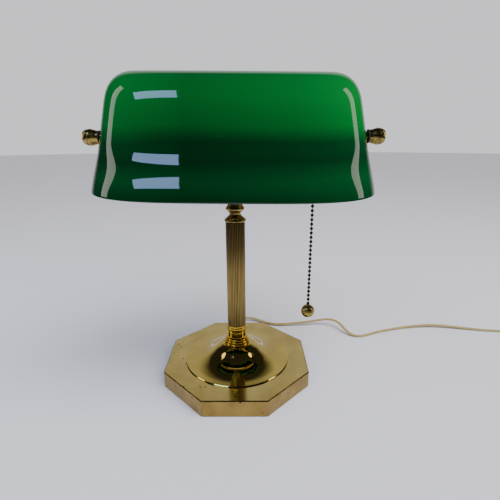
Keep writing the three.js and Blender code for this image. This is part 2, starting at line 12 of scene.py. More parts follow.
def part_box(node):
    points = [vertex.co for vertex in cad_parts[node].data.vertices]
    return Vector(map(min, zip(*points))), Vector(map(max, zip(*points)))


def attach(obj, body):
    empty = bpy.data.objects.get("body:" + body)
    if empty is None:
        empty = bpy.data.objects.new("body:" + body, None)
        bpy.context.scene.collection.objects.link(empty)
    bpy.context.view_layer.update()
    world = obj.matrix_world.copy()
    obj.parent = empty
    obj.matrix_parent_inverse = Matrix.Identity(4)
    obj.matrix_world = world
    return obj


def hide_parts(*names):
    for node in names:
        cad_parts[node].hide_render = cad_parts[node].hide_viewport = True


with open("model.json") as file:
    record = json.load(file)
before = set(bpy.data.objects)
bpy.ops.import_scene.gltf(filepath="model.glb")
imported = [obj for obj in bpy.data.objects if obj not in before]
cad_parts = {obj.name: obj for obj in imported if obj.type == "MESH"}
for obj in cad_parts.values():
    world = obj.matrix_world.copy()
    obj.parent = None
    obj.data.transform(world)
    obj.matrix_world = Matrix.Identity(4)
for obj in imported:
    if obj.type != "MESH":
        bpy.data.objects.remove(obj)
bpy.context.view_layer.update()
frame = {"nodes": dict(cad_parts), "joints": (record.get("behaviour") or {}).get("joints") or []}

MM = 0.001
FULL_TURN = 2 * pi
ROUND_STEPS = 96  # faces round a turned piece
ARC_STEPS = 5  # faces round a small rounded corner
PIPE_HOLE_RADIUS = 5.15
SHARP_EDGE = radians(32)


def span(node):
    """A node's lowest and highest corner, in millimetres."""
    low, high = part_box(node)
    return Vector(low) / MM, Vector(high) / MM


def joint_place(name):
    """The point that a joint turns about, in millimetres."""
    return Vector(next(j for j in frame["joints"] if j["name"] == name)["pos_m"]) / MM


# ---------------------------------------------------------------- camera

def make_camera():
    """Slightly right of the middle, above the shade's rim, looking down on the base."""
    place = Vector((15.38, -345.92, 242.45)) * MM
    pitch, yaw, roll = 0.2966, 0.0032, -0.0041
    camera = bpy.data.objects.new("camera", bpy.data.cameras.new("camera"))
    camera.data.sensor_width = 36
    camera.data.lens = 26.176
    camera.data.clip_start = 0.01
    turn = Matrix.Rotation(yaw, 4, "Z") @ Matrix.Rotation(pi / 2 - pitch, 4, "X")
    camera.matrix_world = Matrix.Translation(place) @ turn @ Matrix.Rotation(roll, 4, "Z")
    bpy.context.scene.collection.objects.link(camera)
    bpy.context.scene.camera = camera


make_camera()

# ---------------------------------------------------------------- mesh helpers

def smooth_path(points, steps):
    """Points on a centripetal Catmull-Rom curve through the given ones, steps to each stretch."""
    points = [Vector(p) for p in points]
    ends = [2 * points[0] - points[1], *points, 2 * points[-1] - points[-2]]
    path = []
    for a, b, c, d in zip(ends, ends[1:], ends[2:], ends[3:]):
        ta = 0
        tb = ta + (b - a).length ** 0.5
        tc = tb + (c - b).length ** 0.5
        td = tc + (d - c).length ** 0.5
        for step in range(steps):
            t = tb + (tc - tb) * step / steps
            ab = a.lerp(b, (t - ta) / (tb - ta))
            bc = b.lerp(c, (t - tb) / (tc - tb))
            cd = c.lerp(d, (t - tc) / (td - tc))
            early = ab.lerp(bc, (t - ta) / (tc - ta))
            late = bc.lerp(cd, (t - tb) / (td - tb))
            path.append(early.lerp(late, (t - tb) / (tc - tb)))
    return [*path, points[-1]]


def rounded(corners, closed=False):
    """A polyline in the plane whose corners (x, y, reach) are rounded over that reach."""
    line = []
    for i, (x, y, *reach) in enumerate(corners):
        here = Vector((x, y))
        if not reach or not (closed or 0 < i < len(corners) - 1):
            line.append(here)
            continue
        before = Vector(corners[i - 1][:2]) - here
        after = Vector(corners[(i + 1) % len(corners)][:2]) - here
        start = here + before.normalized() * min(reach[0], 0.48 * before.length)
        end = here + after.normalized() * min(reach[0], 0.48 * after.length)
        for k in range(ARC_STEPS + 1):
            t = k / ARC_STEPS
            line.append(start.lerp(here, t).lerp(here.lerp(end, t), t))
    return line


def bead(radius, bulge, low, high, steps=10):
    """A half-round bead on a turned profile, from one height to another."""
    angles = [pi * k / steps for k in range(steps + 1)]
    middle, half = (low + high) / 2, (high - low) / 2
    return [(radius + bulge * sin(a), middle - half * cos(a)) for a in angles]


def turned(profile, closed=False, steps=ROUND_STEPS):
    """A profile of (radius, height) spun about Z. An open one starts and ends on the axis."""
    bm = bmesh.new()
    verts = [bm.verts.new((point[0] * MM, 0, point[1] * MM)) for point in profile]
    edges = [bm.edges.new(pair) for pair in zip(verts, verts[1:])]
    if closed:
        edges.append(bm.edges.new((verts[-1], verts[0])))
    bmesh.ops.spin(bm, geom=verts + edges, cent=(0, 0, 0), axis=(0, 0, 1), dvec=(0, 0, 0),
                   angle=FULL_TURN, steps=steps, use_merge=True, use_duplicate=False)
    bmesh.ops.remove_doubles(bm, verts=bm.verts, dist=1e-7)
    bmesh.ops.recalc_face_normals(bm, faces=bm.faces)
    return bm


def along_x(bm, side=1):
    """Lays a piece made about Z along X, with its top towards +X, or -X where side is -1."""
    bmesh.ops.rotate(bm, cent=(0, 0, 0), matrix=Matrix.Rotation(side * pi / 2, 3, "Y"), verts=bm.verts)
    return bm


def moved(bm, x=0, y=0, z=0):
    bmesh.ops.translate(bm, vec=Vector((x, y, z)) * MM, verts=bm.verts)
    return bm


def stacked(outlines, capped=True):
    """Skins a stack of closed outlines of points in metres, one ring of edges pulled out after another."""
    bm = bmesh.new()
    count = len(outlines[0])
    ring = bmesh.ops.create_circle(bm, segments=count, radius=1)["verts"]
    for vert, point in zip(ring, outlines[0]):
        vert.co = point
    first = ring
    for outline in outlines[1:]:
        edges = [bm.edges.get((ring[k - 1], ring[k])) for k in range(count)]
        made = set(bmesh.ops.extrude_edge_only(bm, edges=edges)["geom"])
        ring = [next(v for e in old.link_edges for v in e.verts if v in made) for old in ring]
        for vert, point in zip(ring, outline):
            vert.co = point
    if capped:
        bm.faces.new(first)
        bm.faces.new(ring)
    bmesh.ops.remove_doubles(bm, verts=bm.verts, dist=1e-7)
    bmesh.ops.recalc_face_normals(bm, faces=bm.faces)
    return bm


def swept(path, section):
    """Carries a section of (across, up) points in mm along a path in mm, keeping it level."""
    outlines = []
    for before, here, after in zip([path[0], *path], path, [*path[1:], path[-1]]):
        along = (after - before).normalized()
        across = along.cross(Vector((0, 0, 1))).normalized()
        up = across.cross(along)
        outlines.append([(here + across * x + up * y) * MM for x, y in section])
    return stacked(outlines)


def piece(name, bm, body, materials, replaces=(), smooth=True):
    """Makes the finished object, with its place in its mesh, riding on a body of the frame."""
    mesh = bpy.data.meshes.new(name)
    bm.to_mesh(mesh)
    bm.free()
    obj = bpy.data.objects.new(name, mesh)
    bpy.context.scene.collection.objects.link(obj)
    for material in materials:
        mesh.materials.append(material)
    mesh.polygons.foreach_set("use_smooth", [smooth] * len(mesh.polygons))
    mesh.set_sharp_from_angle(angle=SHARP_EDGE)
    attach(obj, body)
    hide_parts(*replaces)
    return obj


# ---------------------------------------------------------------- materials

def colour(hex_value):
    """An sRGB hex colour as linear red, green, blue and alpha."""
    parts = [int(hex_value[k:k + 2], 16) / 255 for k in (1, 3, 5)]
    return (*[c / 12.92 if c <= 0.04045 else ((c + 0.055) / 1.055) ** 2.4 for c in parts], 1)


def node(tree, kind, inputs=(), stops=(), **settings):
    """Adds a node, sets or links its inputs, and gives a colour ramp its (position, hex) stops."""
    made = tree.nodes.new("ShaderNode" + kind)
    for key, value in settings.items():
        setattr(made, key, value)
    for key, value in dict(inputs).items():
        if isinstance(value, bpy.types.NodeSocket):
            tree.links.new(value, made.inputs[key])
        else:
            made.inputs[key].default_value = value
    for k, (position, hex_value) in enumerate(stops):
        elements = made.color_ramp.elements
        element = elements[k] if k < 2 else elements.new(position)
        element.position = position
        element.color = colour(hex_value)
    return made


def new_material(name, **sockets):
    """A Principled material with its constant sockets set, its node tree and its Object coordinates."""
    material = bpy.data.materials.new(name)
    material.use_nodes = True
    tree = material.node_tree
    shader = tree.nodes["Principled BSDF"]
    for key, value in sockets.items():
        shader.inputs[key.replace("_", " ").title().replace("Ior", "IOR")].default_value = value
    place = tree.nodes.new("ShaderNodeTexCoord").outputs["Object"]
    return material, tree, shader, place


def per_metre(millimetres):
    """The scale of a pattern that repeats every so many millimetres."""
    return 1 / (millimetres * MM)


SPECK_RAGGEDNESS = 0.9
POLISH_GRAIN = 2.5


def brass(name, light, dark, roughness, cloud_mm, speck_mm=5.0, specks=0.0, lean=0.0):
    """Lacquered brass. Clouds of light and dark tarnish, and dark specks where the lacquer has
    failed, more of them at -X when lean is above 0."""
    material, tree, shader, place = new_material(name, metallic=1.0)
    clouds = node(tree, "TexNoise", {"Vector": place, "Scale": per_metre(cloud_mm), "Detail": 4.0})
    tone = node(tree, "ValToRGB", {"Fac": clouds.outputs["Fac"]}, stops=[(0.35, dark), (0.65, light)])
    cells = node(tree, "TexVoronoi", {"Vector": place, "Scale": per_metre(speck_mm)})
    wobble = node(tree, "TexNoise", {"Vector": place, "Scale": per_metre(SPECK_RAGGEDNESS), "Detail": 2.0})
    reach = node(tree, "MapRange", {"Value": wobble.outputs["Fac"], "To Min": 0.06, "To Max": 0.26})
    inside = node(tree, "Math", {0: cells.outputs["Distance"], 1: reach.outputs["Result"]},
                  operation="LESS_THAN")
    chance = node(tree, "SeparateColor", {"Color": cells.outputs["Color"]})
    across = node(tree, "SeparateXYZ", {"Vector": place})
    share = node(tree, "Math", {0: across.outputs["X"], 1: -lean, 2: specks}, operation="MULTIPLY_ADD")
    chosen = node(tree, "Math", {0: chance.outputs["Red"], 1: share.outputs["Value"]},
                  operation="LESS_THAN")
    speck = node(tree, "Math", {0: inside.outputs["Value"], 1: chosen.outputs["Value"]},
                 operation="MULTIPLY")
    mixed = node(tree, "Mix", {"Factor": speck.outputs["Value"], "A": tone.outputs["Color"],
                               "B": colour("#2E2415")}, data_type="RGBA")
    grain = node(tree, "TexNoise", {"Vector": place, "Scale": per_metre(POLISH_GRAIN), "Detail": 5.0})
    gloss = node(tree, "MapRange", {"Value": grain.outputs["Fac"], "To Min": 0.6 * roughness,
                                    "To Max": 1.5 * roughness})
    dull = node(tree, "Math", {0: speck.outputs["Value"], 1: 0.35, 2: gloss.outputs["Result"]},
                operation="MULTIPLY_ADD")
    depth = node(tree, "Math", {0: speck.outputs["Value"], 1: -1.0, 2: grain.outputs["Fac"]},
                 operation="MULTIPLY_ADD")
    bump = node(tree, "Bump", {"Height": depth.outputs["Value"], "Strength": 0.12, "Distance": 0.05 * MM})
    tree.links.new(mixed.outputs["Result"], shader.inputs["Base Color"])
    tree.links.new(dull.outputs["Value"], shader.inputs["Roughness"])
    tree.links.new(bump.outputs["Normal"], shader.inputs["Normal"])
    return material


def reeded_brass(name):
    """Drawn brass tube, with painted shade in its grooves and towards its top, beneath the glass shade."""
    material, tree, shader, place = new_material(name, metallic=1.0)
    parts = node(tree, "SeparateXYZ", {"Vector": place})
    flat = node(tree, "CombineXYZ", {"X": parts.outputs["X"], "Y": parts.outputs["Y"]})
    radius = node(tree, "VectorMath", {0: flat.outputs["Vector"]}, operation="LENGTH")
    # Painted shade in the grooves between the reeds
    groove_shade_mask = node(tree, "MapRange", {"Value": radius.outputs["Value"], "From Min": 9.1 * MM,
                                    "From Max": 9.5 * MM})
    # Painted shade, darker towards the top of the column beneath the glass shade
    height = node(tree, "MapRange", {"Value": parts.outputs["Z"], "From Min": 56 * MM,
                                     "From Max": 166 * MM})
    painted_shade_to_top = node(tree, "ValToRGB", {"Fac": height.outputs["Result"]},
                stops=[(0, "#C6AC66"), (1, "#5C4C2C"), (0.55, "#BFA45E"), (0.78, "#78653A")])
    streak = node(tree, "Mapping", {"Vector": place, "Scale": (1, 1, 0.08)})
    stain = node(tree, "TexNoise", {"Vector": streak.outputs["Vector"], "Scale": per_metre(3),
                                    "Detail": 4.0})
    mottled = node(tree, "Mix", {"Factor": stain.outputs["Fac"], "A": painted_shade_to_top.outputs["Color"],
                                 "B": colour("#6E5C34")}, data_type="RGBA")
    tone = node(tree, "Mix", {"Factor": groove_shade_mask.outputs["Result"], "A": colour("#2C2210"),
                              "B": mottled.outputs["Result"]}, data_type="RGBA")
    gloss = node(tree, "MapRange", {"Value": stain.outputs["Fac"], "To Min": 0.22, "To Max": 0.42})
    tree.links.new(tone.outputs["Result"], shader.inputs["Base Color"])
    tree.links.new(gloss.outputs["Result"], shader.inputs["Roughness"])
    return material


def speckled(name, light, dark, roughness, grain_mm, bump_mm, metallic=0.0, **sockets):
    """A plain finish with a fine grain: moulded, cast, plated or pressed, as its name says."""
    material, tree, shader, place = new_material(name, metallic=metallic, **sockets)
    grain = node(tree, "TexNoise", {"Vector": place, "Scale": per_metre(grain_mm), "Detail": 4.0})
    tone = node(tree, "ValToRGB", {"Fac": grain.outputs["Fac"]}, stops=[(0.3, dark), (0.7, light)])
    gloss = node(tree, "MapRange", {"Value": grain.outputs["Fac"], "To Min": 0.8 * roughness,
                                    "To Max": 1.2 * roughness})
    bump = node(tree, "Bump", {"Height": grain.outputs["Fac"], "Strength": 0.4, "Distance": bump_mm * MM})
    tree.links.new(tone.outputs["Color"], shader.inputs["Base Color"])
    tree.links.new(gloss.outputs["Result"], shader.inputs["Roughness"])
    tree.links.new(bump.outputs["Normal"], shader.inputs["Normal"])
    return material


PIVOT = joint_place("shade_tilt")
SHADE_TILT = radians(5)  # front edge down
SHADE_LEAN = radians(0.6)  # right end down


def blown_green_glass():
    """Blown glass, green right through. Painted shade darkens it at the waist and painted light lifts it
    towards the crown, the flare and the right end, with a painted dark reflection a little left of the
    middle. Its skin is fire polished."""
    material, tree, shader, place = new_material("blown_green_glass", roughness=0.03, ior=1.52)
    centred = node(tree, "VectorMath", {0: place, 1: PIVOT * MM}, operation="SUBTRACT")
    level = node(tree, "Mapping", {"Vector": centred.outputs["Vector"], "Rotation": (-SHADE_TILT, 0, 0)})
    parts = node(tree, "SeparateXYZ", {"Vector": level.outputs["Vector"]})
    swirl = node(tree, "Mapping", {"Vector": level.outputs["Vector"], "Scale": (0.25, 1, 1)})
    drift = node(tree, "TexNoise", {"Vector": swirl.outputs["Vector"], "Scale": per_metre(35),
                                    "Detail": 2.0})
    height = node(tree, "Math", {0: drift.outputs["Fac"], 1: 12 * MM, 2: parts.outputs["Z"]},
                  operation="MULTIPLY_ADD")
    level_share = node(tree, "MapRange", {"Value": height.outputs["Value"], "From Min": -45 * MM,
                                          "From Max": 60 * MM})
    # Painted shade at the waist, painted light on the crown and the flare
    tone = node(tree, "ValToRGB", {"Fac": level_share.outputs["Result"]},
                stops=[(0.04, "#002E12"), (1, "#005A22"), (0.2, "#003A17"), (0.33, "#00280F"),
                       (0.47, "#003615"), (0.6, "#005E22"), (0.8, "#006425")])
    # Painted light, brighter towards the right end, with a painted dark reflection a little left of the
    # middle
    end_share = node(tree, "MapRange", {"Value": parts.outputs["X"], "From Min": -130 * MM,
                                        "From Max": 130 * MM})
    painted_light_across = node(tree, "ValToRGB", {"Fac": end_share.outputs["Result"]},
                stops=[(0.04, "#A0A0A0"), (0.96, "#A8A8A8"), (0.2, "#848484"), (0.36, "#707070"),
                       (0.5, "#787878"), (0.7, "#868686"), (0.85, "#969696")])
    lifted = node(tree, "VectorMath", {0: painted_light_across.outputs["Color"], "Scale": 3.7}, operation="SCALE")
    glass = node(tree, "VectorMath", {0: tone.outputs["Color"], 1: lifted.outputs["Vector"]},
                 operation="MULTIPLY")
    tree.links.new(glass.outputs["Vector"], shader.inputs["Base Color"])
    return material


GREEN_GLASS = blown_green_glass()
# The inside of the shade: the same green glass, dark because little light gets in
INNER_GLASS = speckled("green_glass_inside", "#01421B", "#012E13", 0.12, 25, 0.01, ior=1.52)
# Opal glass, pressed: milky white with a soft gloss
OPAL_GLASS = speckled("opal_glass_white", "#F2F0E8", "#E9E6DC", 0.18, 12, 0.01, ior=1.5)
# Polished brass under clear lacquer: bright, with a few dark specks, most at the left
BASE_BRASS = brass("polished_lacquered_brass", "#CDB66C", "#B8A058", 0.14, 22, specks=0.24, lean=3.0)
# The cover's rounded top edge: a darker, rougher brass
DARK_EDGE_BRASS = brass("dark_edge_brass", "#6E5B32", "#2E2414", 0.3, 6, specks=0.3)
# The cover's sides were never buffed: satin, and browner than the top
SIDE_BRASS = brass("satin_lacquered_brass", "#A48A4C", "#8D743C", 0.3, 18, specks=0.12)
# Spun brass, buffed almost to a mirror
BELL_BRASS = brass("spun_mirror_brass", "#CDB55C", "#BBA253", 0.06, 30, specks=0.03)
# Turned brass, bright, for the sleeve, rings and small fittings
TURNED_BRASS = brass("turned_bright_brass", "#D6B03A", "#BD9732", 0.12, 14, specks=0.04)
# Turned brass dulled by age, brown in its hollows
AGED_BRASS = brass("aged_turned_brass", "#B0985A", "#7C673A", 0.26, 7, specks=0.08)
# Antiqued brass: oxidised nearly black-brown, rubbed on its high places
ANTIQUE_BRASS = brass("antiqued_brass", "#4A3C25", "#241C11", 0.3, 2.2, specks=0.0)
# Turned brass darkened with oxide, rubbed bright at its ridges
KNOB_BRASS = brass("rubbed_antique_brass", "#B49B55", "#6E5A34", 0.26, 4, specks=0.06)
# Spun brass, dulled by handling
BALL_BRASS = brass("handled_spun_brass", "#A8924F", "#7E6A38", 0.27, 3, specks=0.05)
REEDED_BRASS = reeded_brass("drawn_reeded_brass")
# Zinc-plated steel: grey with a faint crystal
PLATED_STEEL = speckled("zinc_plated_steel", "#A9A9A4", "#85857F", 0.35, 1.5, 0.02, metallic=1.0)
# Cast iron, as cast: dark and rough
CAST_IRON = speckled("sand_cast_iron", "#3D3D3F", "#252527", 0.8, 0.8, 0.3, metallic=0.5)
# Pressed wool felt: green, matted fibres
FELT = speckled("pressed_green_felt", "#2C5A3E", "#173524", 0.95, 0.5, 0.25)
# Vulcanised fibre: dark and dull
FIBRE = speckled("vulcanised_fibre", "#342D27", "#211C18", 0.7, 0.6, 0.03)
# Pressed insulating paper: buff
PAPER = speckled("insulating_paper", "#C9B68C", "#AC976C", 0.85, 0.7, 0.05)
# Phenolic resin: brown, moulded smooth
PHENOLIC = speckled("moulded_phenolic", "#35251B", "#22170F", 0.4, 3, 0.01)
# Flexible PVC: gold, slightly see-through, with a soft gloss
CORD_PVC = speckled("gold_flexible_pvc", "#A8935A", "#917C48", 0.34, 4, 0.01, subsurface_weight=0.15)
# Moulded PVC for the plug and strain relief: brown-gold
PLUG_PVC = speckled("moulded_brown_pvc", "#6E5732", "#5C4727", 0.42, 0.5, 0.03)


def refinish(material, *names):
    """Gives CAD nodes whose shape is right a real finish."""
    for name in names:
        for place in frame["nodes"][name].material_slots:
            place.material = material


# ---------------------------------------------------------------- cord

CORD_WIDTH = 4.0
CORD_THICK = 2.0
CORD_EXIT = (0, 93, 6.5)

# From the strain relief, over the table in one low hump, to the coil, as in the CAD
RUN_ROUTE = [
    CORD_EXIT, (0, 95.6, 6.5), (0.6, 100.6, 6.2), (3.6, 106.2, 5.4), (8.8, 110, 4.5), (15.2, 110.9, 3.6),
    (23.5, 108.2, 2.8), (33, 102.4, 2.4), (44, 97, 2.4), (55, 95.2, 2.7), (68, 95.6, 3.3),
    (82, 96.4, 4.2), (96, 97.6, 5.4), (108.5, 98.7, 7), (118.5, 98, 8.3), (127.2, 93.6, 8.8),
    (133.2, 85.4, 7.4), (137.6, 76.4, 4.6), (143.4, 69, 2.2), (152.4, 66.2, 1.2), (163.6, 69.2, 1.1),
    (175, 74.4, 1.1), (188, 79.4, 1.1), (204, 84.2, 1.3), (222, 88.2, 1.8), (240, 90.4, 2.6),
    (256, 90.6, 3.2), (274, 88.6, 3), (294, 85, 2.2), (314, 81.4, 1.4), (334, 78.8, 1.1), (352, 77.4, 1.1),
]
COIL_CENTRE = Vector((366, 50, 0))
COIL_RADII = (27.1, 23.0, 18.9)  # of the turns in one layer, a cord's width apart
LAYER_RISE = 2.1
CROSSING = radians(80)  # the stretch over which one turn steps across to the next
# From the top of the coil up into the plug, from the coil's centre
TAIL_ROUTE = [
    (-13.9, 12.6, 6.2), (-9.6, 15.6, 8.2), (-4.5, 17, 9.2), (2, 16.1, 10.4), (7.5, 12.6, 11.6),
    (11.1, 7.1, 12.5),
]
PLUG_REAR = Vector((378, 52, 12.8))


def coil_points():
    """Nine turns, clockwise from above: inwards, outwards and inwards again, a layer at a time."""
    turns = [(r, layer) for layer in range(3) for r in (COIL_RADII if layer != 1 else COIL_RADII[::-1])]
    per_turn = 24
    last = len(turns) * per_turn - 4
    points = []
    for k in range(1, last):
        turn, part = divmod(k, per_turn)
        angle = FULL_TURN * part / per_turn
        (radius, layer), (later, above) = turns[turn], turns[min(turn + 1, len(turns) - 1)]
        share = max(0, (angle - FULL_TURN + CROSSING) / CROSSING)
        share = share * share * (3 - 2 * share)
        around = pi / 2 - angle
        r = radius + (later - radius) * share
        z = CORD_THICK / 2 + 0.1 + LAYER_RISE * (layer + (above - layer) * share)
        points.append(COIL_CENTRE + Vector((r * cos(around), r * sin(around), z)))
    return points


def make_cord():
    tail = [COIL_CENTRE + Vector(p) for p in TAIL_ROUTE]
    into_plug = [PLUG_REAR, PLUG_REAR - Vector((0, 2, 0))]
    path = smooth_path([*RUN_ROUTE, *coil_points(), *tail, *into_plug], 4)
    # Two insulated wires side by side, with a groove between them
    half, wire = CORD_WIDTH / 4, CORD_THICK / 2
    right = [(half + half * cos(a), wire * sin(a)) for a in (radians(d) for d in range(-125, 126, 50))]
    left = [(-x, -y) for x, y in right]
    bm = swept(path, right + left)
    cord = piece("flat_twin_cord", bm, "lamp", [CORD_PVC],
                 ["cord_run", "cord_coil", "cord_tail"])
    return cord, [p * MM for p in path]


def strain_relief():
    """A collar against the base, and a ribbed boot that tapers to the cord."""
    low, _ = span("cord_strain_relief")
    _, cover = span("base_cover")
    face = cover.y + 0.3
    reach = 21.5
    profile = [(0, low.y), (3.9, low.y), (3.9, face), (5.6, face, 0.3), (5.6, face + 1.2, 0.4),
               (4.5, face + 1.5, 0.2)]
    ribs = 7
    for k in range(ribs):
        start = face + 2.2 + 2.5 * k
        radius = 4.4 - 1.4 * k / ribs
        profile += [(radius, start, 0.2), (radius - 0.1, start + 1.5, 0.2),
                    (radius - 0.7, start + 1.7, 0.2), (radius - 0.75, start + 2.3, 0.2)]
    profile += [(2.9, face + reach, 0.5), (0, face + reach)]
    bm = turned(rounded(profile), steps=48)
    bmesh.ops.rotate(bm, cent=(0, 0, 0), matrix=Matrix.Rotation(-pi / 2, 3, "X"), verts=bm.verts)
    moved(bm, z=CORD_EXIT[2])
    return piece("ribbed_strain_relief", bm, "lamp", [PLUG_PVC], ["cord_strain_relief"])


def squircle(half_width, half_height, power, sides):
    """A closed outline between an ellipse and a rectangle."""
    points = []
    for k in range(sides):
        c, s = cos(FULL_TURN * k / sides), sin(FULL_TURN * k / sides)
        points.append(Vector((half_width * abs(c) ** (2 / power) * (1 if c > 0 else -1),
                              half_height * abs(s) ** (2 / power) * (1 if s > 0 else -1))))
    return points


def plug():
    """A moulded two-blade plug with a finger grip across its waist."""
    stations = [(0, 2.9, 2.2), (0.6, 3.0, 2.4), (6, 3.3, 2.6), (8, 4.6, 3.4), (10, 7.2, 4.6),
                (13, 9.6, 5.4), (14.2, 9.9, 5.0), (15.4, 10.2, 5.5), (16.6, 10.4, 5.1),
                (17.8, 10.7, 5.6), (19, 10.9, 5.2), (20.4, 11.3, 5.8), (26.5, 11.9, 5.9),
                (28, 11.8, 5.7), (28.5, 11.3, 5.2)]
    outlines = []
    for along, half_width, half_thick in stations:
        outlines.append([(PLUG_REAR + Vector((p.x, -along, p.y))) * MM
                         for p in squircle(half_width, half_thick, 3.6, 48)])
    return piece("moulded_plug", stacked(outlines), "lamp", [PLUG_PVC], ["plug_body"])


twin_cord, cord_path = make_cord()
relief = strain_relief()
plug_moulding = plug()
refinish(TURNED_BRASS, "left_plug_blade", "right_plug_blade")

# ---------------------------------------------------------------- base

def base_cover():
    """An eight-sided pressed cover, open underneath, with softened edges."""
    low, high = span("base_cover")
    flats = high.x - low.x
    bm = bmesh.new()
    to_corner = flats / 2 / cos(pi / 8) * MM
    ring = bmesh.ops.create_circle(bm, segments=8, radius=to_corner, cap_ends=True)["verts"]
    bmesh.ops.rotate(bm, cent=(0, 0, 0), matrix=Matrix.Rotation(pi / 8, 3, "Z"), verts=ring)
    moved(bm, z=low.z)
    made = bmesh.ops.extrude_face_region(bm, geom=bm.faces[:])["geom"]
    top = [v for v in made if isinstance(v, bmesh.types.BMVert)]
    bmesh.ops.translate(bm, vec=(0, 0, (high.z - low.z) * MM), verts=top)
    bmesh.ops.recalc_face_normals(bm, faces=bm.faces)
    posts = [e for e in bm.edges if abs(e.verts[0].co.z - e.verts[1].co.z) > 1e-6]
    bmesh.ops.bevel(bm, geom=posts, offset=0.8 * MM, offset_type="OFFSET", affect="EDGES",
                    segments=3, profile=0.5, material=-1)
    rim = [e for e in bm.edges if min(v.co.z for v in e.verts) > high.z * MM - 1e-6]
    edge = bmesh.ops.bevel(bm, geom=rim, offset=0.8 * MM, offset_type="OFFSET", affect="EDGES",
                           segments=4, profile=0.5, material=-1)
    for face in bm.faces:
        if face in edge["faces"]:
            face.material_index = 1
        elif abs(face.normal.z) < 0.5:
            face.material_index = 2
    flats = [f for f in bm.faces if f.calc_area() > 300 * MM * MM]
    bmesh.ops.inset_individual(bm, faces=flats, thickness=0.3 * MM, use_even_offset=True)
    floor = [f for f in bm.faces if f.normal.z < -0.9]
    bmesh.ops.delete(bm, geom=floor, context="FACES")
    cover = piece("pressed_base_cover", bm, "lamp",
                  [BASE_BRASS, DARK_EDGE_BRASS, SIDE_BRASS], ["base_cover"])
    wall = cover.modifiers.new("wall", "SOLIDIFY")
    wall.thickness = 1.2 * MM
    wall.offset = -1
    return cover


def spun_bell():
    low, high = span("bell_dome")
    foot, top, hole = low.z, high.z, PIPE_HOLE_RADIUS
    curve = smooth_path([(54.6, 0, foot + 0.9), (47, 0, 18.9), (39, 0, 20.4), (31.5, 0, 23.2),
                         (25.5, 0, 27.2), (20.5, 0, 31.4), (15.2, 0, top)], 7)
    outer = [(high.x, foot), (high.x - 0.05, foot + 0.4), *[(p.x, p.z) for p in curve]]
    inner = [(r - 1, max(z - 1, foot)) for r, z in outer[2:-1]][::-1]
    bm = turned([*outer, (hole, top), (hole, top - 1), *inner], closed=True, steps=128)
    return piece("spun_bell", bm, "lamp", [BELL_BRASS], ["bell_dome"])


def stepped_rings():
    low, high = span("stepped_rings")
    step = (high.z - low.z) / 3
    profile = [(12.4, low.z)]
    for k, radius in enumerate((12.9, 11.7, 10.4)):
        profile += bead(radius, 0.9, low.z + k * step + 0.1, low.z + (k + 1) * step)
    bm = turned([*profile, (PIPE_HOLE_RADIUS, high.z), (PIPE_HOLE_RADIUS, low.z)], closed=True)
    return piece("ring_stack", bm, "lamp", [TURNED_BRASS], ["stepped_rings"])


def polished_sleeve():
    low, high = span("lower_sleeve")
    profile = rounded([
        (9.5, low.z, 0.3), (9.2, low.z + 0.8, 0.2), (9.2, 48.2, 0.3), (8.8, 48.8, 0.3), (9.5, 49.6, 0.3),
        (9.5, 50.5),
    ])
    profile += bead(9.6, 0.85, 50.6, 54.6)
    profile += [(9.5, high.z), (PIPE_HOLE_RADIUS, high.z), (PIPE_HOLE_RADIUS, low.z)]
    bm = turned(profile, closed=True)
    return piece("polished_sleeve", bm, "lamp", [TURNED_BRASS], ["lower_sleeve"])


base_cover()
spun_bell()
stepped_rings()
polished_sleeve()
refinish(CAST_IRON, "base_weight")
refinish(FELT, "felt_pad")
refinish(PLATED_STEEL, "base_washer", "base_nut", "lamp_pipe")

# ---------------------------------------------------------------- column and neck

def reeded_column():
    """A tube with 36 half-round reeds, sharp grooves between them."""
    low, high = span("column_tube")
    reeds, per_reed, depth = 36, 8, 0.5
    count = reeds * per_reed
    section = []
    for k in range(count):
        angle = FULL_TURN * k / count
        radius = high.x - depth * (1 - abs(sin(reeds / 2 * angle)) ** 0.7)
        section.append((radius * cos(angle), radius * sin(angle)))
    heights = [low.z + 0.02, low.z + 0.4, high.z - 0.4, high.z - 0.02]
    insets = [0.97, 1, 1, 0.97]
    outlines = [[Vector((x * s, y * s, z)) * MM for x, y in section] for z, s in zip(heights, insets)]
    return piece("reeded_column", stacked(outlines), "lamp", [REEDED_BRASS], ["column_tube"])


def turned_neck():
    low, high = span("turned_neck")
    profile = rounded([
        (10, low.z, 0.3), (10.75, 167.2, 0.5), (10.5, 168.3, 0.5), (9.3, 169.5, 0.6), (6.3, 171.8, 1),
        (5.5, 173.4, 0.8), (5.5, 174.4, 0.6), (8.2, 176.9, 0.7), (9.2, 178.3, 0.5), (9.2, 179.3, 0.5),
        (7.4, 181.8, 1), (7.1, 183.2, 0.8), (7.1, high.z, 0.4), (PIPE_HOLE_RADIUS, high.z),
        (PIPE_HOLE_RADIUS, 179), (2.6, 178), (2.6, 172), (PIPE_HOLE_RADIUS, 171.3),
        (PIPE_HOLE_RADIUS, low.z),
    ], closed=True)
    bm = turned(profile, closed=True)
    return piece("neck_turning", bm, "lamp", [AGED_BRASS], ["turned_neck"])


reeded_column()
turned_neck()
refinish(AGED_BRASS, "yoke")
refinish(PLATED_STEEL, "yoke_nipple", "yoke_washer", "yoke_nut")
refinish(CORD_PVC, "inner_cord")

# ---------------------------------------------------------------- shade

HALF_LENGTH = 129.8
HALF_DEPTH = 67.0
SHADE_HEIGHT = 98.8
GLASS_WALL = 3.5
WAIST_HEIGHT = 44.0
WAIST_HALF_DEPTH = 43.0
END_SLOPE = 0.245
SHOULDER_HEIGHT = 74.0
SHOULDER_INSET = 24.0
DOME_POWER = 2.6
PLAN_POWER_X = 3.8
PLAN_POWER_Y = 2.4
PIVOT_HEIGHT = 45.0
MIDDLE_HALF_LENGTH = 118.0
MIDDLE_HALF_DEPTH = 50.0
KNOB_BORE_RADIUS = 5.5


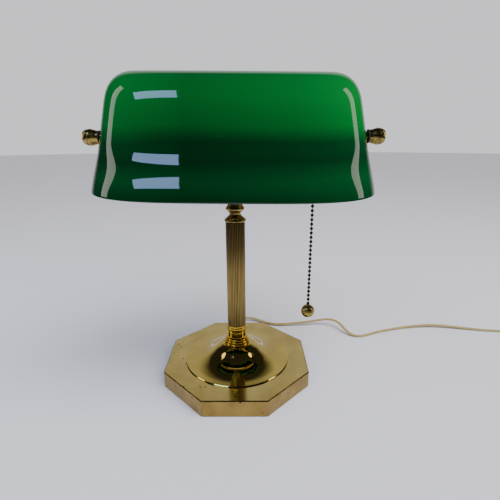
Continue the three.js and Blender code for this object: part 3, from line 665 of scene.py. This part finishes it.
def shade_half_depth(height):
    if height < WAIST_HEIGHT:
        t = (WAIST_HEIGHT - height) / WAIST_HEIGHT
        return WAIST_HALF_DEPTH + (HALF_DEPTH - WAIST_HALF_DEPTH) * t * t * (3 - 2 * t)
    t = min(1, (height - WAIST_HEIGHT) / (SHADE_HEIGHT - WAIST_HEIGHT))
    return WAIST_HALF_DEPTH * (1 - t ** DOME_POWER) ** (1 / DOME_POWER)


def shade_half_length(height):
    t = min(1, max(0, (height - SHOULDER_HEIGHT) / (SHADE_HEIGHT - SHOULDER_HEIGHT)))
    shoulder = SHOULDER_INSET * (1 - (1 - t ** DOME_POWER) ** (1 / DOME_POWER))
    return HALF_LENGTH - END_SLOPE * height - shoulder


def even_angles(quarter):
    """Angles that spread points evenly round the plan of the shade, symmetrical in each quarter."""
    fine = 2000
    spots = []
    for k in range(fine + 1):
        a = pi / 2 * k / fine
        x = MIDDLE_HALF_LENGTH * cos(a) ** (2 / PLAN_POWER_X) if k < fine else 0
        y = MIDDLE_HALF_DEPTH * sin(a) ** (2 / PLAN_POWER_Y)
        spots.append(Vector((x, y)))
    far = [0]
    for one, other in zip(spots, spots[1:]):
        far.append(far[-1] + (other - one).length)
    angles = []
    k = 0
    for step in range(quarter):
        while far[k] < far[-1] * step / quarter:
            k += 1
        angles.append(pi / 2 * k / fine)
    angles += [pi - a for a in [pi / 2, *angles[:0:-1]]]
    return angles + [a + pi for a in angles]


def drill_shade(shade):
    """Adds the bore for the knob shanks to the shade's modifiers, and returns the drill."""
    bm = bmesh.new()
    bmesh.ops.create_cone(bm, segments=48, radius1=KNOB_BORE_RADIUS * MM, radius2=KNOB_BORE_RADIUS * MM,
                          depth=300 * MM, cap_ends=True)
    moved(along_x(bm), z=PIVOT.z)
    mesh = bpy.data.meshes.new("drill")
    bm.to_mesh(mesh)
    bm.free()
    drill = bpy.data.objects.new("drill", mesh)
    bpy.context.scene.collection.objects.link(drill)
    bore = shade.modifiers.new("knob_bores", "BOOLEAN")
    bore.object = drill
    bore.solver = "EXACT"
    return drill


def settle(obj):
    """Makes what an object's modifiers give its own mesh, and takes the modifiers off."""
    graph = bpy.context.evaluated_depsgraph_get()
    mesh = bpy.data.meshes.new_from_object(obj.evaluated_get(graph))
    obj.modifiers.clear()
    obj.data = mesh
    mesh.name = obj.name
    mesh.set_sharp_from_angle(angle=SHARP_EDGE)


def cased_shade():
    """One sheet of glass, bellied and flared, given its wall and then bored for the knobs."""
    flare, dome = 22, 26
    heights = [WAIST_HEIGHT * k / flare for k in range(flare)]
    heights += [WAIST_HEIGHT + (SHADE_HEIGHT - WAIST_HEIGHT) * sin(pi / 2 * k / dome) ** (2 / DOME_POWER)
                for k in range(dome + 1)]
    angles = even_angles(40)
    turn = Matrix.Rotation(SHADE_LEAN, 3, "Y")
    turn = Matrix.Rotation(SHADE_TILT, 3, "X") @ turn
    outlines = []
    for height in heights:
        a, b = shade_half_length(height), shade_half_depth(height)
        outline = []
        for angle in angles:
            c, s = cos(angle), sin(angle)
            x = a * abs(c) ** (2 / PLAN_POWER_X) * (1 if c > 0 else -1)
            y = b * abs(s) ** (2 / PLAN_POWER_Y) * (1 if s > 0 else -1)
            outline.append((PIVOT + turn @ Vector((x, y, height - PIVOT_HEIGHT))) * MM)
        outlines.append(outline)
    bm = stacked(outlines, capped=False)
    shade = piece("cased_glass_shade", bm, "shade", [GREEN_GLASS, INNER_GLASS],
                  ["glass_shade"])
    wall = shade.modifiers.new("wall", "SOLIDIFY")
    wall.thickness = GLASS_WALL * MM
    wall.offset = -1
    wall.material_offset = 1
    wall.material_offset_rim = 0
    bores = drill_shade(shade)
    edge = shade.modifiers.new("ground_rim", "BEVEL")
    edge.width = 0.9 * MM
    edge.segments = 3
    edge.limit_method = "ANGLE"
    edge.angle_limit = radians(50)
    settle(shade)
    bpy.data.objects.remove(bores)
    return shade


cased_shade()

# ---------------------------------------------------------------- knobs and washers

WASHER_RADIUS = 6.2
WASHER_HOLE_RADIUS = 3.2
SHANK_TIP = 104.0
SHANK_RADIUS = 2.9


def knob_profile(start, tip):
    """A screw shank, then a cone that widens to a grooved rim and a rounded end."""
    return rounded([
        (0, SHANK_TIP), (SHANK_RADIUS, SHANK_TIP, 0.3), (SHANK_RADIUS, start), (5.8, start, 0.3),
        (5.9, start + 1.4, 0.5),
        (7.5, start + 7.4, 0.5), (7.6, start + 8.4, 0.3), (6.95, start + 8.8, 0.15),
        (6.95, start + 9.1, 0.15), (7.3, start + 9.6, 0.4), (6.9, start + 11.6, 1.0),
        (5.8, start + 13.6, 0.5), (4.8, tip, 0.4), (0, tip),
    ])


def knobs_and_washers():
    _, tip = span("right_knob")
    inner, _ = span("right_inner_washer")
    outer, after = span("right_outer_washer")
    for side, name in ((1, "right"), (-1, "left")):
        knob = along_x(turned(knob_profile(after.x + 0.3, tip.x)), side)
        piece(f"{name}_turned_knob", moved(knob, z=PIVOT.z), f"{name}_knob", [KNOB_BRASS],
              [f"{name}_knob"])
        for part, start, thick in (("inner", inner.x, 1.4), ("outer", outer.x, 0.9)):
            end = start + thick
            ring = rounded([
                (WASHER_RADIUS, start, 0.2), (WASHER_RADIUS, end, 0.2), (WASHER_HOLE_RADIUS, end),
                (WASHER_HOLE_RADIUS, start),
            ], closed=True)
            washer = moved(along_x(turned(ring, closed=True, steps=48), side), z=PIVOT.z)
            piece(f"{name}_{part}_fibre_washer", washer, "lamp", [FIBRE],
                  [f"{name}_{part}_washer"])


knobs_and_washers()

# ---------------------------------------------------------------- socket and bulb

SOCKET_Z = joint_place("bulb_turn").z


def on_socket(profile, closed=False, steps=ROUND_STEPS):
    """A turned piece laid along X on the socket's axis."""
    return moved(along_x(turned(profile, closed, steps)), z=SOCKET_Z)


def socket_pieces():
    """The socket's cap, shell and chain mouth. The parts inside it keep their own shapes."""
    start, hub = (corner.x for corner in span("socket_cap"))
    cap = rounded([
        (16.9, start, 0.2), (16.9, start + 3, 0.6), (16.2, start + 5.5, 1), (14.4, start + 8.2, 1),
        (11.6, start + 10.4, 1), (8.4, start + 11.8, 0.6), (7.8, hub, 0.3), (PIPE_HOLE_RADIUS, hub),
        (PIPE_HOLE_RADIUS, start + 11), (8.2, start + 10.6), (11, start + 9.4), (13.6, start + 7.6),
        (15.3, start + 5.2), (16.1, start + 2.8), (16.1, start),
    ], closed=True)
    bm = on_socket(cap, closed=True)
    piece("domed_socket_cap", bm, "lamp", [AGED_BRASS], ["socket_cap"])
    mouth, end = (corner.x for corner in span("socket_shell"))
    shell = rounded([
        (17.4, mouth, 0.2), (17.7, mouth + 0.8, 0.4), (16.9, mouth + 1.8, 0.4), (16.9, mouth + 12, 0.3),
        (17.3, mouth + 12.6, 0.4), (17.3, mouth + 13.6, 0.4), (16.9, mouth + 14.2, 0.3),
        (16.9, end, 0.2), (16.2, end), (16.2, mouth),
    ], closed=True)
    bm = on_socket(shell, closed=True)
    piece("beaded_socket_shell", bm, "lamp", [AGED_BRASS], ["socket_shell"])
    axis = joint_place("chain_pull")
    mouthpiece = rounded([
        (4.1, 200, 0.2), (4.2, 200.5, 0.3), (3.5, 201.8, 0.6), (3.1, 203.8, 0.8), (3.1, 207.6, 0.5),
        (4.2, 208.8, 0.3), (4.2, 212.4), (2.3, 212.4), (2.3, 201.6, 0.5), (3.3, 200, 0.2),
    ], closed=True)
    bm = moved(turned(mouthpiece, closed=True, steps=48), axis.x, axis.y)
    piece("flared_chain_mouth", bm, "lamp", [AGED_BRASS], ["chain_bell_mouth"])
    refinish(PAPER, "socket_liner")
    refinish(PHENOLIC, "socket_body")
    refinish(TURNED_BRASS, "screw_shell", "centre_contact")
    refinish(PLATED_STEEL, "socket_nipple", "socket_locknut")


def bulb():
    """A tubular bulb, frosted white, with a rolled thread on its cap."""
    tip, neck = (corner.x for corner in span("bulb_glass"))
    outer = rounded([
        (11.9, neck), (11.9, 42.5, 3), (14.6, 35.5, 3), (15.9, 30, 3), (15.9, -50, 3), (14.6, -57, 4),
        (10, -61.8, 4), (0, tip),
    ])
    inner = [(max(p.x - 1, 0), p.y + (1 if p.y < 0 else 0)) for p in outer][::-1]
    bm = on_socket([*outer[::-1], *inner[::-1]])
    piece("tubular_bulb", bm, "bulb", [OPAL_GLASS], ["bulb_glass"])
    thread = [(12.4 + 0.5 * sin(pi * k / 6) ** 2, 47 + 0.6 * k) for k in range(31)]
    contact = [(12, 65.6), (7, 66.8), (4.8, 67.4), (4.2, 68.4), (0, 68.6)]
    cap = [(12.2, 43), (12.7, 43), (12.9, 44.5), *thread, *contact]
    inside = [(12.2, 62), (11.4, 64.4), (0, 66.2)]
    bm = on_socket([*inside[::-1], *cap])
    piece("threaded_bulb_cap", bm, "bulb", [TURNED_BRASS], ["bulb_cap"])


socket_pieces()
bulb()

# ---------------------------------------------------------------- pull chain

BEAD_RADIUS = 1.6
BEADS = 25
WIRE_RADIUS = 0.42
WIRE_BITE = 0.15  # how far a wire's end goes into its bead
CHAIN_AXIS = joint_place("chain_swing_side")


def add_bead(bm, z):
    """A hollow bead, drawn as a plain ball: its seam is too fine to see."""
    place = Matrix.Translation(Vector((CHAIN_AXIS.x, CHAIN_AXIS.y, z)) * MM)
    bmesh.ops.create_uvsphere(bm, u_segments=20, v_segments=14, radius=BEAD_RADIUS * MM, matrix=place)


def add_link(bm, low, high):
    """The wire between two beads."""
    place = Matrix.Translation(Vector((CHAIN_AXIS.x, CHAIN_AXIS.y, (low + high) / 2)) * MM)
    bmesh.ops.create_cone(bm, segments=10, radius1=WIRE_RADIUS * MM, radius2=WIRE_RADIUS * MM,
                          depth=(high - low) * MM, cap_ends=True, matrix=place)


def bead_chain():
    _, ball_top = span("pull_ball")
    _, top = span("pull_chain")
    lowest = ball_top.z + 1.0
    pitch = (top.z - BEAD_RADIUS - lowest) / (BEADS - 1)
    bm = bmesh.new()
    for k in range(BEADS):
        z = lowest + k * pitch
        add_bead(bm, z)
        if k:
            add_link(bm, z - pitch + BEAD_RADIUS - WIRE_BITE, z - BEAD_RADIUS + WIRE_BITE)
    return piece("bead_chain", bm, "chain", [ANTIQUE_BRASS], ["pull_chain"])


def chain_ends():
    """The clasp that hangs from the mouth, and the two beads it is pulled by."""
    low, high = span("chain_connector")
    clasp = rounded([(0, low.z), (1.3, low.z, 0.3), (1.9, low.z + 0.9, 0.4), (1.9, high.z - 0.9, 0.4),
                     (1.3, high.z, 0.3), (0, high.z)])
    bm = moved(turned(clasp, steps=32), CHAIN_AXIS.x, CHAIN_AXIS.y)
    piece("chain_clasp", bm, "chain_link", [ANTIQUE_BRASS], ["chain_connector"])
    low, high = span("inner_beads")
    bm = bmesh.new()
    add_bead(bm, low.z + BEAD_RADIUS)
    add_bead(bm, high.z - BEAD_RADIUS)
    add_link(bm, low.z + 2 * BEAD_RADIUS - WIRE_BITE, high.z - 2 * BEAD_RADIUS + WIRE_BITE)
    piece("hidden_chain_beads", bm, "pull", [ANTIQUE_BRASS], ["inner_beads"])


def pull_ball():
    """A hollow brass ball with a seam round its middle and a collar that holds the last bead."""
    low, high = span("pull_ball")
    radius = (high.x - low.x) / 2
    middle = low.z + radius
    seam_angle = 0.25
    collar_angle = 0.26
    profile = []
    steps = 40
    for k in range(steps + 1):
        angle = -pi / 2 + (pi - collar_angle) * k / steps
        pinch = 0.12 if abs(angle - seam_angle) < 0.03 else 0
        profile.append(((radius - pinch) * cos(angle) if k else 0, middle + (radius - pinch) * sin(angle)))
    profile += [(1.7, high.z - 0.5), (1.6, high.z - 0.1), (0, high.z)]
    bm = moved(turned(profile, steps=64), CHAIN_AXIS.x, CHAIN_AXIS.y)
    return piece("hollow_pull_ball", bm, "chain", [BALL_BRASS], ["pull_ball"])


bead_chain()
chain_ends()
pull_ball()

# ---------------------------------------------------------------- floor, backdrop and light

def stage_material(name, hex_value, roughness):
    material, _, shader, _ = new_material(name, roughness=roughness)
    shader.inputs["Base Color"].default_value = colour(hex_value)
    return material


def table():
    """A pale table top. Reflections see the near part only, as if the room beyond it were dark."""
    paper = stage_material("pale_table_paper", "#D4D4D9", 0.75)
    for name, radius, z, in_reflections in (("table", 0.8, 0, True), ("table_beyond", 7, -0.001, False)):
        bm = bmesh.new()
        bmesh.ops.create_circle(bm, segments=96, radius=radius, cap_ends=True,
                                matrix=Matrix.Translation((0, 0, z)))
        mesh = bpy.data.meshes.new(name)
        bm.to_mesh(mesh)
        bm.free()
        mesh.materials.append(paper)
        top = bpy.data.objects.new(name, mesh)
        top.visible_glossy = in_reflections
        bpy.context.scene.collection.objects.link(top)


def area_light(name, place, aim, size, power, hex_value, in_reflections=True):
    light = bpy.data.lights.new(name, "AREA")
    light.shape = "RECTANGLE"
    light.size, light.size_y = size
    light.energy = power
    light.color = colour(hex_value)[:3]
    obj = bpy.data.objects.new(name, light)
    turn = (Vector(aim) - Vector(place)).to_track_quat("-Z", "Y").to_matrix().to_4x4()
    obj.matrix_world = Matrix.Translation(place) @ turn
    obj.visible_glossy = in_reflections
    bpy.context.scene.collection.objects.link(obj)


def daylight(place, strength, spread, hex_value):
    """Even light over the whole table, from a broad sky, so that shadows are soft."""
    light = bpy.data.lights.new("daylight", "SUN")
    light.energy = strength
    light.angle = radians(spread)
    light.color = colour(hex_value)[:3]
    obj = bpy.data.objects.new("daylight", light)
    obj.matrix_world = (-Vector(place)).to_track_quat("-Z", "Y").to_matrix().to_4x4()
    obj.visible_glossy = False
    bpy.context.scene.collection.objects.link(obj)


def surroundings():
    """A pale backdrop to look at. Reflections and soft fill come from a room that is pale low down
    behind the lamp, and dim in front and overhead."""
    world = bpy.data.worlds.new("studio")
    bpy.context.scene.world = world
    world.use_nodes = True
    tree = world.node_tree
    place = tree.nodes.new("ShaderNodeTexCoord").outputs["Generated"]
    parts = node(tree, "SeparateXYZ", {"Vector": place})
    back = node(tree, "MapRange", {"Value": parts.outputs["Y"], "From Min": 0.52, "From Max": 0.74})
    low = node(tree, "MapRange", {"Value": parts.outputs["Z"], "From Min": 0.78, "From Max": 0.64})
    share = node(tree, "Math", {0: back.outputs["Result"], 1: low.outputs["Result"]}, operation="MULTIPLY")
    room = node(tree, "ValToRGB", {"Fac": share.outputs["Value"]}, stops=[(0, "#303136"), (1, "#D0D0D6")])
    seen = tree.nodes.new("ShaderNodeLightPath").outputs["Is Camera Ray"]
    shown = node(tree, "Mix", {"Factor": seen, "A": room.outputs["Color"], "B": colour("#F4F4F9")},
                 data_type="RGBA")
    ground = tree.nodes["Background"]
    tree.links.new(shown.outputs["Result"], ground.inputs["Color"])
    ground.inputs["Strength"].default_value = 1.0


table()
surroundings()
area_light("window", (-0.72, -0.86, 1.30), (-0.72, 0.3, 0.1), (0.72, 0.40), 9, "#A6C4FF")
area_light("left_softbox", (-1.08, -0.12, 0.75), (0, -0.12, 0.75), (0.26, 1.2), 3.2, "#F6F4EE")
area_light("right_softbox", (1.08, -0.12, 0.75), (0, -0.12, 0.75), (0.24, 1.2), 3.0, "#FFFAF0")
area_light("overhead", (0.7, -0.45, 1.5), (0, 0, 0.1), (1.3, 1.0), 18, "#F6F4F8", in_reflections=False)
daylight((0.5, -0.55, 1.0), 3.5, 70, "#F8F6F8")
